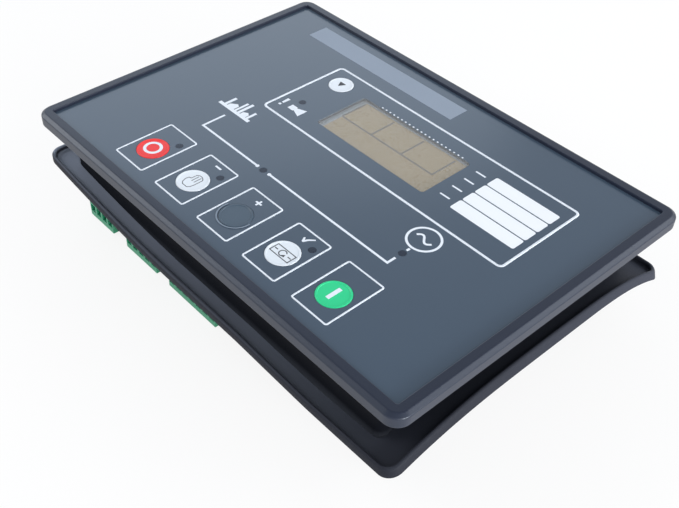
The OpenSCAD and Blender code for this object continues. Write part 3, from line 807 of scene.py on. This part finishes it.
def print_spare_rim_highlight():
    """Painted highlight: a pale arc along the near left edge of the spare key, on its raised rim."""
    low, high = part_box("key_spare")
    inset, start, turn = 0.6, 165, 200
    radius = (high.x - low.x) / 2 / MM - inset
    ring = Print("spare_rim_highlight", "ring", "slate_key", "spare_key", KEY_FACE + KEY_RING)
    ring.line(arc(KEY_AT["spare"], radius, start, turn, 40), 0.65)
    ring.done()


def print_hand():
    """Outline of an open hand."""
    hand = Print("manual_hand", "dark_ink", "slate_key", "manual_key", KEY_FACE)
    thin = 0.34
    palm = [(-3.3, -1.6), (-2.6, -3.6), (-1.4, -4.6), (1.6, -4.6), (2.6, -3.4), (2.9, -1.4), (2.9, 3.2),
            (2.3, 3.8), (1.6, 4.2), (0.6, 4.5), (-0.2, 4.5), (-1.0, 4.2), (-1.8, 3.5), (-1.9, 0.6),
            (-3.1, 0.2)]
    hand.line(moved(palm, KEY_AT["manual"]), thin, closed=True)
    for finger in (-0.35, 1.25):
        hand.line(moved([(finger, -0.4), (finger, 3.7)], KEY_AT["manual"]), thin)
    hand.done()


def print_cycle():
    """Box with a circling arrow: works by itself."""
    middle_of_key = KEY_AT["auto"]
    sign = Print("auto_sign", "dark_ink", "slate_key", "auto_key", KEY_FACE)
    sign.line(moved(bar(-5.45, -2.45, 5.45, 2.45), middle_of_key), 0.42, closed=True)
    turn = arc(middle_of_key, 1.7, 30, 290, 24)
    sign.line(turn, 0.45)
    sign.solid(moved([(-0.9, -0.2), (0.75, -0.45), (0.3, 1.1)], turn[-1]))
    for dash in (-4.0, 4.0):
        sign.solid(moved(bar(dash - 0.9, -0.25, dash + 0.9, 0.25), middle_of_key))
    sign.done()


def print_display_grid():
    """Frame of three cells in the upper half of the display's field, open at its top."""
    grid = Print("display_grid", "grid", "slate_film", surface=GLASS_TOP)
    high, low = 40.9, 25.45
    thin = 0.92
    columns = [-27.15 + 19.75 * i for i in range(4)]
    left, right = columns[0], columns[-1]
    grid.line([(left, high), (left, low), (right, low), (right, high)], thin)
    for column in columns[1:-1]:
        grid.line([(column, low + thin / 2), (column, high)], thin)
    grid.done()


# Gasket: rubber frame with a lip, in the slanting and sagging shape of its solid

# Outlines and section: the case's size and corner, the gasket's corner, web and lip
CASE_W, CASE_H = 213, 153
INNER_R = 3.5
GASKET_R = 6.5
GASKET_T = 1.6
LIP_T = 2.2
LIP_H = 2.6
LIP_EDGE = 1.05
LOW_EDGE = 0.5

# Rows of points along the web, as shares of the way from the case to the outer edge
WEB_MARKS = (0, 0.3, 0.57)

# The lip leans in where its side faces right, and edges turn sharp from this angle on
LIP_LEAN = 0.6
LEAN_POWER = 6
SHARP_DEGREES = 50

# How it hangs: its level, a lift at the left, a fall from the middle to the right, an arch along the
# right side and the sag of its right corners, each with the X or Y where it starts and ends
GASKET_Z = 19.2
GASKET_LIFT = 8.9
LIFT_START, LIFT_END = -20, -115
LIFT_POWER = 1.6
GASKET_FALL = 2.1
FALL_START, FALL_END = 75, 30
GASKET_ARCH = 10.4
ARCH_START = 40
ARCH_POWER = 2
SAG_NEAR, SAG_NEAR_END = -9, -88
SAG_FAR, SAG_FAR_END = 28, 82.5
SAG_POWER = 2.7


def share_between(tree, value, start, end):
    """How far a value has come from a start to an end, held between 0 and 1."""
    share = tree.nodes.new("ShaderNodeMapRange")
    link(tree, value, share.inputs["Value"])
    link(tree, start, share.inputs["From Min"])
    link(tree, end, share.inputs["From Max"])
    return share.outputs[0]


def make_hanging_sheet():
    """Lifts a flat sheet to a low level, raised at its left side and arched along its right side."""
    labels = ("Level", "Lift", "Lift Start", "Lift End", "Fall", "Fall Start", "Fall End", "Arch",
              "Arch Start", "Arch End", "Near Start", "Near End", "Far Start", "Far End")
    inputs = [("Sheet", "NodeSocketGeometry")] + [(label, "NodeSocketFloat") for label in labels]
    tree, given, result = geometry_tree("hanging_sheet", inputs + [("Material", "NodeSocketMaterial")])
    at = tree.nodes.new("GeometryNodeInputPosition")
    axes = split_axes(tree, at.outputs[0])
    x, y = axes["X"], axes["Y"]

    def share(value, label):
        return share_between(tree, value, given.outputs[f"{label} Start"], given.outputs[f"{label} End"])

    rise = math_step(tree, "POWER", share(x, "Lift"), LIFT_POWER)
    rise = math_step(tree, "MULTIPLY", rise, given.outputs["Lift"])
    fall = math_step(tree, "MULTIPLY", share(x, "Fall"), given.outputs["Fall"])
    along = math_step(tree, "POWER", share(x, "Arch"), ARCH_POWER)
    sag = math_step(tree, "MAXIMUM", share(y, "Near"), share(y, "Far"))
    loss = math_step(tree, "MULTIPLY", along, math_step(tree, "POWER", sag, SAG_POWER))
    arch = math_step(tree, "MULTIPLY", math_step(tree, "SUBTRACT", along, loss), given.outputs["Arch"])
    total = math_step(tree, "ADD", math_step(tree, "ADD", rise, arch), fall)
    total = math_step(tree, "ADD", total, given.outputs["Level"])
    offset = tree.nodes.new("ShaderNodeCombineXYZ")
    link(tree, total, offset.inputs["Z"])
    move = tree.nodes.new("GeometryNodeSetPosition")
    link(tree, given.outputs["Sheet"], move.inputs["Geometry"])
    link(tree, offset.outputs[0], move.inputs["Offset"])
    finish_tree(tree, move.outputs[0], result, given)
    return tree


def rounded_outline(width, height, radius, corner_steps=14, side_steps=(60, 44)):
    points = []
    corners = ((1, -1, -90), (1, 1, 0), (-1, 1, 90), (-1, -1, 180))
    for i, (sx, sy, start) in enumerate(corners):
        centre = Vector((sx * (width / 2 - radius), sy * (height / 2 - radius)))
        for k in range(corner_steps + 1):
            angle = math.radians(start + 90 * k / corner_steps)
            points.append(centre + radius * Vector((math.cos(angle), math.sin(angle))))
        nx, ny, _ = corners[(i + 1) % 4]
        after = Vector((nx * (width / 2 - radius), ny * (height / 2 - radius)))
        out = radius * Vector((math.cos(math.radians(start + 90)), math.sin(math.radians(start + 90))))
        steps = side_steps[1] if i % 2 == 0 else side_steps[0]
        for k in range(1, steps):
            points.append(centre + (after - centre) * k / steps + out)
    return points


def gasket_section(reach):
    """Rounded lip on a flat web: distance from the case and height over the underside."""
    foot = reach - LIP_T
    top = GASKET_T + LIP_H
    turns = (((reach - LOW_EDGE, LOW_EDGE), LOW_EDGE, -90, 90),
             ((reach - LIP_EDGE, top - LIP_EDGE), LIP_EDGE, 0, 90),
             ((foot + LIP_EDGE, top - LIP_EDGE), LIP_EDGE, 90, 90),
             ((foot - LIP_EDGE, GASKET_T + LIP_EDGE), LIP_EDGE, 0, -90))
    marks = [(reach * share, 0) for share in WEB_MARKS]
    for centre, radius, start, turn in turns:
        marks += arc(centre, radius, start, turn, 4)
    marks += [(reach * share, GASKET_T) for share in reversed(WEB_MARKS)]
    return marks


def flat_gasket():
    """Mesh of the gasket before it hangs: underside at height 0, and a lip that leans in at the right."""
    low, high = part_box("panel_gasket")
    shift = Vector(middle("panel_gasket"))
    inner = rounded_outline(CASE_W, CASE_H, INNER_R)
    outer = [p + shift for p in rounded_outline((high.x - low.x) / MM, (high.y - low.y) / MM, GASKET_R)]
    mesh = bmesh.new()
    rings = []
    for start, end in zip(inner, outer):
        along = (end - start).normalized()
        reach = (end - start).length
        lean = LIP_LEAN * max(0, along.x) ** LEAN_POWER
        ring = []
        for distance, height in gasket_section(reach):
            p = start + along * distance * (1 - lean * height / reach)
            ring.append(mesh.verts.new((p.x * MM, p.y * MM, height * MM)))
        rings.append(ring)
    count = len(rings[0])
    for i, ring in enumerate(rings):
        after = rings[(i + 1) % len(rings)]
        for j in range(count):
            k = (j + 1) % count
            mesh.faces.new((ring[j], after[j], after[k], ring[k]))
    bmesh.ops.recalc_face_normals(mesh, faces=mesh.faces)
    for face in mesh.faces:
        face.smooth = True
    data = bpy.data.meshes.new("gasket_flat")
    mesh.to_mesh(data)
    mesh.free()
    data.set_sharp_from_angle(angle=math.radians(SHARP_DEGREES))
    return data


def make_gasket():
    values = {"Level": GASKET_Z, "Lift": GASKET_LIFT, "Lift Start": LIFT_START, "Lift End": LIFT_END,
              "Fall": GASKET_FALL, "Fall Start": FALL_START, "Fall End": FALL_END,
              "Arch": GASKET_ARCH, "Arch Start": ARCH_START, "Arch End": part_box("panel_gasket")[1].x / MM,
              "Near Start": SAG_NEAR, "Near End": SAG_NEAR_END, "Far Start": SAG_FAR, "Far End": SAG_FAR_END}
    piece = grow("gasket", make_hanging_sheet(), {label: size * MM for label, size in values.items()},
                 "rubber", start=flat_gasket())
    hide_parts("panel_gasket")


make_camera()
make_world()
make_floor()
make_light()
dress_parts()
print_frames()
print_title()
print_alarm_signs()
print_line_diagram()
print_plant()
print_key_signs()
print_display_grid()
make_gasket()

bpy.context.scene.view_settings.view_transform = "Standard"
